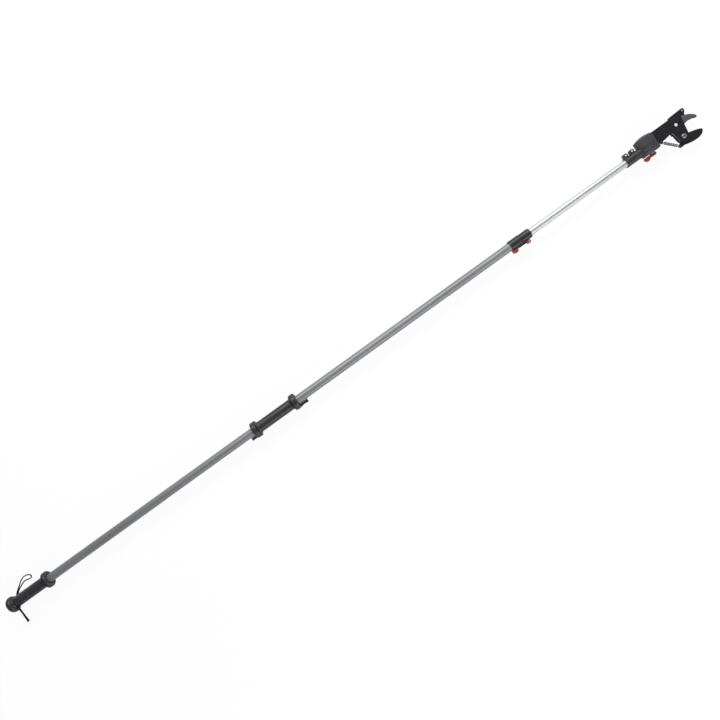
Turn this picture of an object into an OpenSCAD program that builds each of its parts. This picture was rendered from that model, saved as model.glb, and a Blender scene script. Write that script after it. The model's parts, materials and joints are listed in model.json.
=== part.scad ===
// Telescopic tree pruner pole, lying along +X with its head at the far end.
// +Z is up, the blade works in the XY plane, and the origin is the butt end on the pole's axis.

/* [Outer tube] */
// Outside diameter of the grey tube
tube_d = 25; // [24:0.5:30]
// Wall of the grey tube
tube_wall = 1.2; // [1:0.1:1.6]
// Place of the tube's lower end inside the end grip
tube_start = 9; // [6:1:14]
// Width of the long slot that the pull carriage runs in
slot_w = 6.4; // [5:0.1:8]

/* [Inner tube] */
// Gap between the two tubes
tube_gap = 0.8; // [0.5:0.1:1.2]
// Wall of the silver tube
inner_wall = 1.2; // [1:0.1:1.5]
// From the pull grip's upper face to the silver tube's lower end
guide_gap = 49; // [40:1:80]
// Length of silver tube between the collar and the head's socket
silver_shown = 338; // [332:1:500]
// Width of the keyway groove on top
groove_w = 4; // [3:0.2:5]
// Depth of the keyway groove
groove_depth = 1.4; // [1:0.1:2]
// How far the silver tube goes in
travel_in = 325; // [100:1:328]
// How far the silver tube comes out
travel_out = 560; // [100:1:600]

/* [Grips] */
// Thickness of the grips' barrels on the tube
grip_wall = 3.7; // [3:0.1:5]
// Rise of the flanges above the barrels
flange_rise = 8.3; // [8:0.1:10]
// Thickness of the end grip's flange
end_flange_t = 12; // [12:0.5:16]
// Rounding of the end grip's flange
end_flange_edge = 5.9; // [4:0.1:5.9]
// Thickness of the pull grip's flanges
pull_flange_t = 17; // [14:0.5:22]
// Rounding of the pull grip's flanges
pull_flange_edge = 4.5; // [3:0.1:6]
// Flare between barrel and flange
flare_r = 8; // [4:0.5:8]
// Depth of the dished ring around the tube
dish_depth = 4; // [2:0.5:5]
// Length of the end grip
end_grip_len = 140; // [130:1:200]
// Rise of the end knob above the barrel
knob_rise = 7.3; // [6:0.1:10]
// Length of the end knob
knob_len = 18; // [17.5:0.5:19]
// Rounding of the knob at the butt
knob_dome = 9; // [6:0.5:9.4]
// Diameter of the cross hole for the wrist cord
cord_hole_d = 8; // [7.6:0.2:9]
// Place of the cross hole
cord_hole_x = 25.5; // [25:0.1:26]
// Place of the pull grip's lower face
pull_x = 859.5; // [800:0.5:900]
// Length of the pull grip
pull_len = 154; // [140:1:170]

/* [Pull carriage] */
// Width of the carriage's bar
carriage_w = 9; // [7:0.5:11]
// Thickness of the bar under the grip
carriage_t = 2; // [1.5:0.1:2.2]
// Length of the upper tongue past the flange
tongue_up = 25; // [15:0.5:30]
// Length of the lower tongue past the flange
tongue_down = 16.5; // [8:0.5:20]
// Depth of the upper tongue below the tube
tongue_depth = 10.2; // [6:0.2:11]
// Length of the key in the slot
key_len = 80; // [60:1:100]

/* [Strap] */
// Width of the pull strap
strap_w = 9; // [6:0.5:9.4]
// Thickness of the pull strap
strap_t = 0.8; // [0.6:0.1:1]
// Diameter of the strap rivets
rivet_d = 3; // [2.4:0.2:3.4]
// Wall of the strap roller on the swivel bolt
roller_wall = 1.32; // [1:0.02:1.6]

/* [Collar] */
// Wall of the collar on the grey tube
collar_wall = 3; // [2.6:0.1:3.4]
// Step from the collar's lower part to its nose
collar_drop = 1; // [0.6:0.1:1.2]
// Place of the collar's lower end
collar_start = 1764.5; // [1720:0.5:1900]
// Length of the collar on the grey tube
collar_seat = 37; // [30:1:50]
// Length of the collar past the grey tube
collar_nose = 34; // [30:1:40]
// Step between the grey tube and the guide bush
bush_step = 0.5; // [0.3:0.1:0.8]
// Width of the groove round the collar
collar_groove_w = 3.5; // [2:0.5:5]
// Depth of that groove
collar_groove_depth = 1; // [0.5:0.1:1.2]
// From the end of the grey tube to the lever's pin
lever_along = 16; // [14:0.5:18]
// Height of the lever's pin above the collar's nose
lever_rise = 4.1; // [4:0.1:5]
// Diameter of the lever's cam
cam_d = 11; // [10:0.2:11.2]
// Diameter of the lever's pin
lever_pin_d = 3; // [2.5:0.1:4]
// Distance from the pin to the finger tab
lever_reach = 46; // [42:0.5:50]
// Diameter of the finger tab
finger_d = 16; // [12:0.5:18]
// Width of the lever
lever_w = 15; // [13:0.5:16]
// Width of the lug between the lever's cheeks
lever_lug_w = 6.8; // [5:0.2:8]

/* [Swivel] */
// Wall of the socket on the silver tube
socket_wall = 3.5; // [3:0.1:5]
// Length of the silver tube inside the socket
socket_grip = 38; // [34:1:42]
// From the socket's lower end to the swivel axis
socket_len = 80; // [78:0.5:100]
// Diameter of the swivel drum
drum_d = 58; // [54:0.5:60]
// Width of the hub on the pole side
hub_w = 16; // [15:0.2:18]
// Thickness of each hub cheek
hub_cheek = 2.4; // [2:0.1:2.8]
// Drum's end on the spring side
drum_low = 19; // [17:0.5:22]
// Drum's end on the lug side
drum_high = 30; // [28:0.5:33]
// Height of the domed cap on the drum
cap_h = 6.5; // [4:0.5:9]
// Diameter of the swivel bolt
swivel_bolt_d = 6; // [5:0.2:6.4]
// Number of locking notches round the swivel
notches = 24; // [12:2:30]
// Place of the first socket screw, from the socket's lower end
socket_screw_x = 11; // [9:0.5:12]
// Distance between the two socket screws
socket_screw_gap = 22; // [18:0.5:24]
// Height of the socket screws above the socket
socket_screw_rise = 4.6; // [3:0.1:6]
// Diameter of a socket screw
screw_d = 3; // [2.5:0.1:3.5]
// Span of the wing nut's round wing from the axis
wing_long = 21; // [15:0.5:22]
// Span of the wing nut's short wing from the axis
wing_short = 10.5; // [10:0.5:18]
// How far the head turns up
swivel_up = 30; // [10:1:40]
// How far the head turns down
swivel_down = 100; // [60:1:100]

/* [Cutting head] */
// Thickness of the fixed hook
hook_t = 4; // [3:0.1:5]
// Thickness of the blade
blade_t = 3.2; // [2.5:0.1:4]
// Running gap at the blade's faces
blade_gap = 0.3; // [0.2:0.05:0.4]
// Thickness of the top cover
cover_t = 4.8; // [4:0.1:6]
// Thickness of the arm's floor under the strap's link
base_floor = 2.35; // [2:0.05:4]
// Distance from the swivel axis to the two head bolts
pivot_x = 97.5; // [96:0.5:104]
// Blade pivot below the pole's axis
pivot_y = -33.6; // [-36:0.2:-33]
// Hook bolt above the pole's axis
hook_bolt_y = 5.7; // [5.5:0.1:8]
// Diameter of the blade's pivot bolt
pivot_d = 8; // [6:0.2:9]
// Diameter of the hook bolt
hook_bolt_d = 6; // [4:0.2:7]
// Radius of the lobe round the pivot
lobe_r = 16; // [15:0.5:17.5]
// Lever arm of the blade at right angles to the strap
lever_h = 25; // [23:0.2:26]
// Angle through which the blade closes
close_angle = 54; // [46:1:56]
// Diameter of the pin between strap and blade
strap_pin_d = 4; // [3:0.2:4.4]
// Ear hole past the head's mouth
ear_reach = 31; // [27:0.5:35]
// Ear hole past the drum's end on the lug side
ear_rise = 0; // [0:0.1:3]
// Diameter of the ear hole
ear_hole_d = 4.4; // [3:0.2:6]
// Radius of the ear round its hole
ear_r = 6.2; // [5:0.2:8]

/* [Return spring] */
// Outside diameter of the spring
spring_d = 8; // [6:0.2:9]
// Diameter of the spring's wire
wire_d = 1.3; // [0.9:0.1:1.4]
// Number of curls
curls = 21; // [10:1:22]
// Straight hook length at each end
spring_hook = 7; // [6:0.5:8]

/* [Wrist cord] */
// Diameter of the cord
cord_d = 3.4; // [2.8:0.1:3.4]
// Diameter of the knot
knot_d = 8.4; // [8:0.1:8.6]

/* [Fits] */
// Radial clearance of running fits
run = 0.08; // [0.04:0.01:0.1]
// Clearance between faces of pieces that pass each other
pass = 0.3; // [0.2:0.05:0.4]

/* [Hidden] */
$fn = 64;
eps = 0.01;
far = 400;

// Radii, from the grey tube outwards and inwards
tube_r = tube_d / 2;
tube_bore = tube_r - tube_wall;
inner_r = tube_bore - tube_gap;
inner_bore = inner_r - inner_wall;
barrel_r = tube_r + grip_wall;
flange_r = barrel_r + flange_rise;
knob_r = barrel_r + knob_rise;
collar_r = tube_r + collar_wall;
nose_r = collar_r - collar_drop;
bush_r = tube_r - bush_step;
socket_r = inner_r + socket_wall;
drum_r = drum_d / 2;
roller_r = swivel_bolt_d / 2 + run + roller_wall;
cam_r = cam_d / 2;
screw_r = screw_d / 2;
rivet_r = rivet_d / 2;

// Places along the pole, from the butt end
pull_end = pull_x + pull_len;
inner_start = pull_end + guide_gap;
tube_end = collar_start + collar_seat;
collar_end = tube_end + collar_nose;
lever_x = tube_end + lever_along;
socket_start = collar_end + silver_shown;
inner_end = socket_start + socket_grip;
swivel_x = socket_start + socket_len;
cord_hole_tilt = 40;

// Pull carriage and strap, which runs flat under the roller
roller_play = 0.2;
strap_top = -roller_r - roller_play;
strap_z = strap_top - strap_t;
strap_gap = 0.6;
strap_lead = 4;
strap_break = 9;
key_x = pull_x + (pull_len - key_len) / 2;
key_depth = 8.5;
foot_t = 3;
foot_side = 8;
rivet_head = 0.7;
rivet_head_r = rivet_r + 1.1;
rivet_pitch = 40;
carriage_rivet_x = [for (s = [-1, 1]) key_x + (key_len + s * rivet_pitch) / 2];
tongue_hollow = 30;
tongue_waist = 1.2;
tongue_step = 1.2;
tongue_low_waist = 0.4;

// Collar and its clamp
collar_edge = 0.8;
collar_round = 3;
lever_y = nose_r + lever_rise;
lever_slack = 0.3;
lever_bar = 1;
lever_arch = 2;
lever_gap = 2 * pass;
tab_lift = 1;
tab_rim = 2;
tab_dish = 1;
guard_t = 2.4;
guard_gap = 0.5;
guard_x = collar_start + 20;
guard_slope = 2;
cam_pocket = (lever_w - lever_lug_w) / 2 + guard_gap;
pad_half = 4;
pad_gap = 0.2;
pad_in = lever_lug_w / 2 + 0.6;
pad_out = lever_w / 2 - 0.4;
lip_gap = 0.4;
lip_t = 3;
collar_screw_x = collar_start + 16;
collar_screw_seat = tube_r + 0.6;
collar_screw_proud = 0.4;
screw_head_r = screw_r + 1.25;

// Slot in the grey tube for the carriage's whole travel
slot_margin = 6;

// Guide on the silver tube's lower end
guide_flange = 6;
guide_spigot = 14;

// Socket and swivel
socket_x = [for (i = [0, 1]) socket_start + socket_screw_x + i * socket_screw_gap];
socket_screw_y = socket_r + socket_screw_rise;
socket_edge = 0.8;
socket_round = 4;
socket_sink = 11;
post_r = 6;
post_half = 7.5;
slit_w = 2;
slit_past = 2;
screw_head_h = 3;
screw_sink = 2.4;
screw_key = 2.5;
screw_key_depth = 1.6;
screw_nut_af = 5.5;
screw_nut_h = 2.4;
hub_in = hub_w / 2 - hub_cheek;
hub_inset = 0.4;
hub_r = drum_r - hub_inset;
hub_shell = 2.4;
hub_bore = hub_r - hub_shell;
strap_way = 8;
mouth_margin = 6;
mouth_tilt = asin(strap_z / hub_bore);
mouth_low = mouth_tilt - swivel_down - mouth_margin;
mouth_high = mouth_tilt + swivel_up + mouth_margin;
mouth_steps = 8;
cheek_in = hub_w / 2 + pass;
cheek_edge = 0.5;
drum_edge = 6;
notch_w = 1.4;
notch_len = 8;
notch_rim = 6;
// Ridge on each cheek that runs in a groove of the hub, so that the gap can't be seen through
ridge_back = 2;
ridge_w = 2.4;
ridge_h = 1.1;
ridge_r = hub_bore - ridge_back;
swivel_sink = 6;
swivel_head_d = 11;
swivel_head_h = 4;
swivel_pocket_r = 7;
swivel_stub = 9;
cap_r = drum_r - 1;
cap_rim = 0.25;
cap_rise = cap_h - cap_rim;
cap_dome = (cap_r * cap_r + cap_rise * cap_rise) / (2 * cap_rise);
washer_t = 1;
washer_r = swivel_bolt_d / 2 + 5;
wing_hub_r = swivel_bolt_d / 2 + 4.5;
wing_hub_h = 9;
wing_half = 2.6;
wing_drop = 4;
wing_disc_r = 9.4;
wing_bar = 8;
wing_tip_r = 4;
wing_clear = 0.4;

// Blade motion: the pin moves straight while the lever turns by close_angle
half_angle = close_angle / 2;
strap_pull = 2 * lever_h * tan(half_angle);
pin_y = pivot_y + lever_h;
pin_rest_x = pivot_x + strap_pull / 2;
slot_half = strap_pin_d / 2 + 0.6;
slot_end_play = 0.3;
slot_far = lever_h / cos(half_angle) + slot_end_play;
slot_near = lever_h - slot_end_play;
lever_half = slot_half + 2.5;
slot_from = key_x - travel_in - strap_pull - slot_margin;
slot_to = key_x + key_len + travel_out + slot_margin;

// Link between strap and blade
link_t = 2;
link_z = strap_z - link_t;
link_tail = 36;
link_pad = 4.5;
link_bar = 4;
link_nut_gap = 1.6;
link_rivet_x = [pin_rest_x - 33, pin_rest_x - 24];
link_lap = 21;
link_headroom = 0.2;
// The strap's lower end stays inside the hub when it is drawn down
strap_spare = 1.2;
head_strap_x = strap_pull - hub_bore + strap_spare;

// Layers of the head, from the blade's plane outwards
blade_z = -blade_gap / 2 - blade_t;
hook_z = blade_gap / 2;
cover_z = hook_z + hook_t;
cover_top = cover_z + cover_t;
base_top = blade_z - blade_gap;
base_bottom = link_z - pass - base_floor;
nut_h = 3.4;
lobe_bottom = base_bottom + nut_h;
bed_wall = 1.6;
ear_z = base_bottom + 4;

// Outline of the head, measured from the swivel axis
arm_joint = pivot_x - 40;
lobe_left = pivot_x - 20;
mouth_x = pivot_x + 13.5;
arm_root = 10;
arm_wall = 6;
arm_gap = 8;
boss_r = hook_bolt_d / 2 + 1.6;
ear_x = mouth_x + ear_reach;
ear_y = drum_high + ear_rise;
ear_root = mouth_x - 20;
ear_t = 3;
ear_rim = 1.4;
hook_top = 18.5;
hook_x = mouth_x + 1.4;

// Bolts and screws of the head
head_h = 3.2;
hook_head_d = 9;
hook_nut_af = 10;
hook_recess = 14;
recess_depth = 1.2;
pivot_head_d = 13;
pivot_nut_af = 13;
pivot_washer_rim = 0.8;
cover_screw_at = [
    [arm_joint + 8, drum_high - arm_wall / 2], [mouth_x - 24, drum_high - arm_wall / 2]
];
cover_screw_head = 1.6;
cover_screw_end = cover_top - 1.5;

// Return spring between the arm's lug and the blade's tail
spring_lug = [drum_r + 12, -11.5];
tail_hole = [-19.5, -17];
spring_eye_d = 3;
lug_r = 4.4;
lug_t = 2.6;
lug_rise = 8;
coil_r = (spring_d - wire_d) / 2;
spring_z = blade_z + blade_t / 2;
spring_far = [pivot_x, pivot_y] + tail_hole;
spring_span = norm(spring_far - spring_lug);
spring_angle = atan2(spring_far[1] - spring_lug[1], spring_far[0] - spring_lug[0]);
coil_len = spring_span - 2 * spring_hook;
curl_rings = 8;
wire_sides = 6;
hook_bend = 1.6;
hook_mid = 0.5;
hook_end = -3.6;
coil_lead = 1.2;
spring_start = [
    [0, 0, hook_end], [0, 0, coil_r - hook_bend], [hook_mid, 0, coil_r - hook_mid],
    [hook_bend, 0, coil_r], [spring_hook - coil_lead, 0, coil_r]
];
coil_path = [
    for (i = [0:curls * curl_rings])
        let (t = i / (curls * curl_rings), a = 360 * curls * t)
        [spring_hook + coil_len * t, coil_r * sin(a), coil_r * cos(a)]
];
spring_finish = [for (i = [4:-1:0]) let (p = spring_start[i]) [spring_span - p[0], p[1], p[2]]];
spring_path = concat(spring_start, coil_path, spring_finish);
spring_last = len(spring_path) - 1;
ring_skip = curl_rings - 2;
spring_self_gap = min([
    for (i = [0:spring_last - ring_skip], j = [i + ring_skip:spring_last])
        norm(spring_path[i] - spring_path[j])
]) - wire_d;
echo(spring_self_gap = spring_self_gap);

// Wrist cord: through the cross hole, round a loop on the ground and back, with both ends in a knot
cord_sides = 8;
cord_half = 2;
loop_points = [
    [23.5, 0, 0], [23.5, 9, -7.5], [23.3, 14, -11.6], [24.5, 18.5, -15], [27, 23, -18.5],
    [32.2, 28.5, -21.5], [40, 34.2, -22.5], [46.5, 39.5, -22.6], [53.5, 44, -22.6], [61.5, 47, -22.6],
    [69, 47.6, -22.6], [75.5, 46.2, -22.6], [81.5, 43, -22.6], [84.4, 38.5, -22.6], [82.5, 34, -22.6],
    [77, 32.8, -22.6], [71, 34.3, -22.6], [65, 36, -22.6], [59, 36, -22.6], [52.5, 34.2, -22.6],
    [45.5, 31.3, -22.5], [36.9, 27.1, -21.6], [31.9, 22.8, -19], [29.4, 18.2, -15.3], [27.7, 14, -11.6],
    [27.5, 9, -7.5], [27.5, 0, 0]
];
tail_points = [
    [25.5, 0, 0], [25.5, -9, 7.5], [25.5, -14, 11.6], [25.6, -18.5, 13.2], [24.4, -23.5, 11.4],
    [19.9, -29, 4.5], [14.3, -35, -3.5], [9.5, -41, -10.5], [6.1, -48, -15.5], [4.6, -55.5, -17.8],
    [4.3, -62, -18.4]
];
tail_turn = [0, 0, 15, 50, 90, 90, 90, 90, 90, 90, 90];
tail_last = len(tail_points) - 1;
knot_at = [4.2, -64, -18.6];
// The two ends lie side by side in the hole, and one above the other outside it
function tail_strand(side) = [
    for (i = [0:tail_last])
        let (
            v = tail_points[min(i + 1, tail_last)] - tail_points[max(i - 1, 0)],
            t = v / norm(v),
            w = [1, 0, 0] - t[0] * t,
            u = w / norm(w)
        )
        tail_points[i] + side * cord_half * (u * cos(tail_turn[i]) + cross(t, u) * sin(tail_turn[i]))
];

// Helpers
module rod_x(r, x0, x1, y = 0, z = 0) {
    translate([x0, y, z]) rotate([0, 90, 0]) cylinder(r = r, h = x1 - x0);
}
module rod_y(r, y0, y1, x = 0, z = 0) {
    translate([x, y0, z]) rotate([-90, 0, 0]) cylinder(r = r, h = y1 - y0);
}
module rod_z(r, z0, z1, x = 0, y = 0) {
    translate([x, y, z0]) cylinder(r = r, h = z1 - z0);
}
module hex_z(af, z0, z1, x, y) {
    translate([x, y, z0]) cylinder(d = af / cos(30), h = z1 - z0, $fn = 6);
}
module block(x, y, z) {
    translate([x[0], y[0], z[0]]) cube([x[1] - x[0], y[1] - y[0], z[1] - z[0]]);
}
module plate(z0, z1) {
    translate([0, 0, z0]) linear_extrude(z1 - z0) children();
}
// A profile drawn as [radius, place] turned about the pole's axis
module turned_x() {
    rotate([0, 90, 0]) rotate_extrude() children();
}
// The same about the swivel axis
module turned_y() {
    rotate([-90, 0, 0]) rotate_extrude() children();
}
// Half profile of a disc from y0 to y1, with the edges rounded by low and high
module rounded_disc(r, y0, y1, low, high) {
    intersection() {
        translate([0, y0]) square([r, y1 - y0]);
        union() {
            translate([0, y0 + low]) square([r, y1 - y0 - low - high]);
            translate([0, y0]) square([r - low, low]);
            translate([r - low, y0 + low]) circle(low);
            translate([0, y1 - high]) square([r - high, high]);
            translate([r - high, y1 - high]) circle(high);
        }
    }
}
// Concave flare from a barrel of radius r up to a face at y, on the side given by dir
module flare(r, y, f, dir) {
    difference() {
        translate([0, dir > 0 ? y : y - f]) square([r + f, f]);
        translate([r + f, y + dir * f]) circle(f);
    }
}
function bezier(a, b, c, d, steps = 10) = [
    for (i = [0:steps])
        let (t = i / steps, u = 1 - t)
        u * u * u * a + 3 * u * u * t * b + 3 * u * t * t * c + t * t * t * d
];
// Side direction carried along a path, so that a swept tube doesn't twist
function carried(dirs, side, i = 0) =
    i == len(dirs) ? [] :
    let (w = side - (side * dirs[i]) * dirs[i], u = w / norm(w))
    concat([u], carried(dirs, u, i + 1));
// Tube swept along points, with closed ends
module sweep(points, r, sides) {
    last = len(points) - 1;
    dirs = [for (i = [0:last]) let (v = points[min(i + 1, last)] - points[max(i - 1, 0)]) v / norm(v)];
    across = carried(dirs, cross(dirs[0], abs(dirs[0][2]) > 0.9 ? [1, 0, 0] : [0, 0, 1]));
    rings = [
        for (i = [0:last])
            let (u = across[i], v = cross(u, dirs[i]))
            for (k = [0:sides - 1])
                points[i] + r * (u * cos(360 * k / sides) + v * sin(360 * k / sides))
    ];
    walls = [
        for (i = [0:last - 1], k = [0:sides - 1])
            let (a = i * sides + k, b = i * sides + (k + 1) % sides, c = a + sides, d = b + sides)
            each [[a, b, d], [a, d, c]]
    ];
    caps = [
        for (k = [1:sides - 2])
            each [[0, k + 1, k], [last * sides, last * sides + k, last * sides + k + 1]]
    ];
    polyhedron(rings, concat(walls, caps));
}

// Pole
module cord_bore() {
    translate([cord_hole_x, 0, 0]) rotate([-cord_hole_tilt, 0, 0]) rod_y(cord_hole_d / 2, -far, far);
}
module end_grip() color("#3c3c42") {
    flange_x = end_grip_len - end_flange_t;
    difference() {
        turned_x() difference() {
            union() {
                rounded_disc(knob_r, 0, knob_len, knob_dome, flare_r);
                square([barrel_r, flange_x]);
                flare(barrel_r, knob_len, flare_r / 2, 1);
                rounded_disc(flange_r, flange_x, end_grip_len, end_flange_edge, end_flange_edge);
                flare(barrel_r, flange_x, flare_r, -1);
            }
            translate([0, tube_start]) square([tube_r, end_grip_len]);
            translate([tube_r, end_grip_len]) circle(dish_depth);
        }
        cord_bore();
    }
}
module outer_tube() color("#85868a") {
    difference() {
        rod_x(tube_r, tube_start, tube_end);
        rod_x(tube_bore, tube_start - 1, tube_end + 1);
        cord_bore();
        block([slot_from, slot_to], [-tube_r - 1, 0], [-slot_w / 2, slot_w / 2]);
    }
}
module cord_loop() color("#1c1c1e") sweep(loop_points, cord_d / 2, cord_sides);
module cord_tail() color("#1c1c1e")
    for (s = [-1, 1])
        sweep(tail_strand(s), cord_d / 2, cord_sides);
module cord_knot() color("#1c1c1e") translate(knot_at) sphere(d = knot_d);

// Collar with its clamp
module pad_windows(gap) {
    for (s = [-1, 1])
        block(
            [lever_x - pad_half - gap, lever_x + pad_half + gap],
            [-collar_r - 1, 0],
            s > 0 ? [pad_in - gap, pad_out + gap] : [-pad_out - gap, -pad_in + gap]
        );
}
module guard_outline() {
    polygon([
        [guard_x, -collar_r / 2], [guard_x + guard_slope, -lever_y],
        [lever_x - cam_r - guard_slope, -lever_y], [lever_x - cam_r, -collar_r / 2]
    ]);
}
module collar() color("#2e2f33") {
    lug = lever_lug_w / 2;
    difference() {
        union() {
            turned_x() {
                rounded_disc(collar_r, collar_start, tube_end, collar_edge, collar_edge);
                difference() {
                    rounded_disc(nose_r, collar_start, collar_end, collar_edge, collar_round);
                    translate([nose_r - collar_groove_depth, tube_end]) square([nose_r, collar_groove_w]);
                }
            }
            block([lever_x - cam_r, lever_x + cam_r], [-lever_y, 0], [-lug, lug]);
            rod_z(cam_r, -lug, lug, lever_x, -lever_y);
            for (z = [lever_w / 2 + guard_gap, -lever_w / 2 - guard_gap - guard_t])
                plate(z, z + guard_t) guard_outline();
        }
        rod_x(tube_r, collar_start - 1, tube_end);
        rod_x(bush_r, tube_end - eps, collar_end - lip_t);
        rod_x(inner_r + lip_gap, collar_start, collar_end + 1);
        for (z = [lug, -lug - cam_pocket])
            rod_z(cam_r + pass, z, z + cam_pocket, lever_x, -lever_y);
        rod_z(lever_pin_d / 2, -far, far, lever_x, -lever_y);
        pad_windows(pad_gap);
        rod_z(screw_r, -far, 0, collar_screw_x, 0);
        rod_z(screw_head_r + pad_gap, -far, -collar_screw_seat, collar_screw_x, 0);
    }
}
module collar_screw() color("#c9c9cc") {
    rod_z(screw_head_r, -collar_r - collar_screw_proud, -collar_screw_seat, collar_screw_x, 0);
    rod_z(screw_r, -collar_screw_seat - eps, -tube_r, collar_screw_x, 0);
}
module collar_bush() color("#55565a") {
    bush_end = collar_end - lip_t;
    key_half = (groove_w - pass) / 2;
    difference() {
        union() {
            difference() {
                rod_x(bush_r, tube_end, bush_end);
                rod_x(inner_r + run, tube_end - 1, bush_end + 1);
            }
            block(
                [tube_end, bush_end],
                [-key_half, key_half],
                [inner_r - groove_depth + pass, (inner_r + bush_r) / 2]
            );
        }
        pad_windows(pad_gap);
    }
}
module brake_pads() color("#1d1d1f") {
    difference() {
        intersection() {
            pad_windows(0);
            block([collar_start, collar_end], [-lever_y + cam_r + pad_gap, 0], [-far, far]);
        }
        rod_x(inner_r + pad_gap, collar_start, collar_end);
    }
}
module lever_pin() color("#c9c9cc") rod_z(lever_pin_d / 2, -lever_w / 2, lever_w / 2, lever_x, -lever_y);
module clamp_lever() color("#b8493a") {
    half = lever_w / 2;
    cheek = lever_lug_w / 2 + lever_slack;
    tab_x = lever_x - lever_reach;
    tab_y = -lever_y + tab_lift;
    difference() {
        union() {
            rod_z(cam_r, -half, half, lever_x, -lever_y);
            block([tab_x, lever_x], [-lever_y + lever_bar, -collar_r - lever_gap], [-half, half]);
            block([tab_x, lever_x - cam_r], [-lever_y + lever_bar, -collar_r + lever_arch], [-half, half]);
            rod_z(finger_d / 2, -half, half, tab_x, tab_y);
        }
        rod_x(collar_r + lever_gap, tab_x - finger_d, lever_x - cam_r);
        block([lever_x - cam_r - pass, lever_x + cam_d], [-far, 0], [-cheek, cheek]);
        rod_z(lever_pin_d / 2 + run, -far, far, lever_x, -lever_y);
        for (z = [half - tab_dish, -half - tab_dish])
            rod_z(finger_d / 2 - tab_rim, z, z + 2 * tab_dish, tab_x, tab_y);
    }
}

// Silver tube with its lower guide and the head's socket
module groove_back(x0, x1, side) {
    half = groove_w / 2 + inner_wall + side;
    block([x0, x1], [-half, half], [inner_r - groove_depth - inner_wall, inner_r]);
}
module inner_tube() color("#e4e5e8") {
    difference() {
        union() {
            difference() {
                rod_x(inner_r, inner_start, inner_end);
                rod_x(inner_bore, inner_start - 1, inner_end + 1);
            }
            intersection() {
                rod_x(inner_r, inner_start, inner_end);
                groove_back(inner_start, inner_end, 0);
            }
        }
        block(
            [inner_start - 1, inner_end + 1],
            [-groove_w / 2, groove_w / 2],
            [inner_r - groove_depth, inner_r + 1]
        );
    }
}
module inner_guide() color("#55565a") {
    spigot_end = inner_start + guide_spigot;
    way = strap_w / 2 + strap_gap;
    difference() {
        union() {
            rod_x(tube_bore - run, inner_start - guide_flange, inner_start);
            difference() {
                rod_x(inner_bore, inner_start - eps, spigot_end);
                groove_back(inner_start, spigot_end + 1, eps);
            }
        }
        block(
            [inner_start - guide_flange - 1, spigot_end + 1],
            [-way, way],
            [strap_z - strap_gap - rivet_head, strap_top + strap_gap]
        );
    }
}
// Ring of V notches cut into a face across the swivel axis
module notch_ring(y) {
    for (i = [0:notches - 1])
        translate([0, y, 0]) rotate([0, 360 * i / notches, 0])
            translate([drum_r - notch_rim - notch_len, 0, 0]) rotate([45, 0, 0])
                translate([0, -notch_w / 2, -notch_w / 2]) cube([notch_len, notch_w, notch_w]);
}
// Two round ridges that stand in from faces at y and -y
module ridges(y, grow) {
    turned_y() for (from = [y - ridge_h, -y - eps])
        translate([ridge_r - grow, from]) square([ridge_w + 2 * grow, ridge_h + eps]);
}
// Way out of the hub for the strap, over the whole swivel
module strap_mouth() {
    step = (mouth_high - mouth_low) / mouth_steps;
    translate([swivel_x, hub_in, 0]) rotate([90, 0, 0]) linear_extrude(2 * hub_in)
        polygon(concat([[0, 0]], [for (a = [mouth_low:step:mouth_high + eps]) drum_d * [cos(a), sin(a)]]));
}
module head_socket() color("#333338") {
    difference() {
        union() {
            turned_x()
                rounded_disc(
                    socket_r, socket_start, swivel_x - drum_r + socket_sink, socket_edge, socket_round
                );
            for (x = socket_x) {
                rod_z(post_r, -post_half, post_half, x, socket_screw_y);
                block([x - post_r, x + post_r], [0, socket_screw_y], [-post_half, post_half]);
            }
            rod_y(hub_r, -hub_w / 2, hub_w / 2, swivel_x);
        }
        rod_y(drum_r + pass, -far, -hub_w / 2, swivel_x);
        rod_y(drum_r + pass, hub_w / 2, far, swivel_x);
        rod_x(inner_r, socket_start - 1, inner_end);
        block([inner_end - 1, swivel_x], [-hub_in, hub_in], [-strap_way, strap_way]);
        rod_y(hub_bore, -hub_in, hub_in, swivel_x);
        strap_mouth();
        block([socket_start - 1, inner_end + slit_past], [0, far], [-slit_w / 2, slit_w / 2]);
        for (x = socket_x) {
            rod_z(screw_r, -far, far, x, socket_screw_y);
            rod_z(screw_head_r, post_half - screw_sink, far, x, socket_screw_y);
            hex_z(screw_nut_af, -far, -post_half + screw_nut_h, x, socket_screw_y);
        }
        rod_y(swivel_bolt_d / 2 + run, -far, far, swivel_x);
        at_head() {
            notch_ring(-hub_w / 2);
            notch_ring(hub_w / 2);
            ridges(hub_w / 2, pass);
        }
    }
}
module socket_screws() color("#d8d8da") {
    seat = post_half - screw_sink;
    top = seat + screw_head_h;
    for (x = socket_x)
        difference() {
            union() {
                rod_z(screw_head_r, seat, top, x, socket_screw_y);
                rod_z(screw_r, -post_half, seat + eps, x, socket_screw_y);
            }
            hex_z(screw_key, top - screw_key_depth, far, x, socket_screw_y);
        }
}
module socket_nuts() color("#d8d8da")
    for (x = socket_x)
        difference() {
            hex_z(screw_nut_af, -post_half, -post_half + screw_nut_h, x, socket_screw_y);
            rod_z(screw_r, -far, far, x, socket_screw_y);
        }
module strap_roller() color("#d5d2c8")
    difference() {
        rod_y(roller_r, -hub_in + pass, hub_in - pass, swivel_x);
        rod_y(swivel_bolt_d / 2 + run, -far, far, swivel_x);
    }

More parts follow.
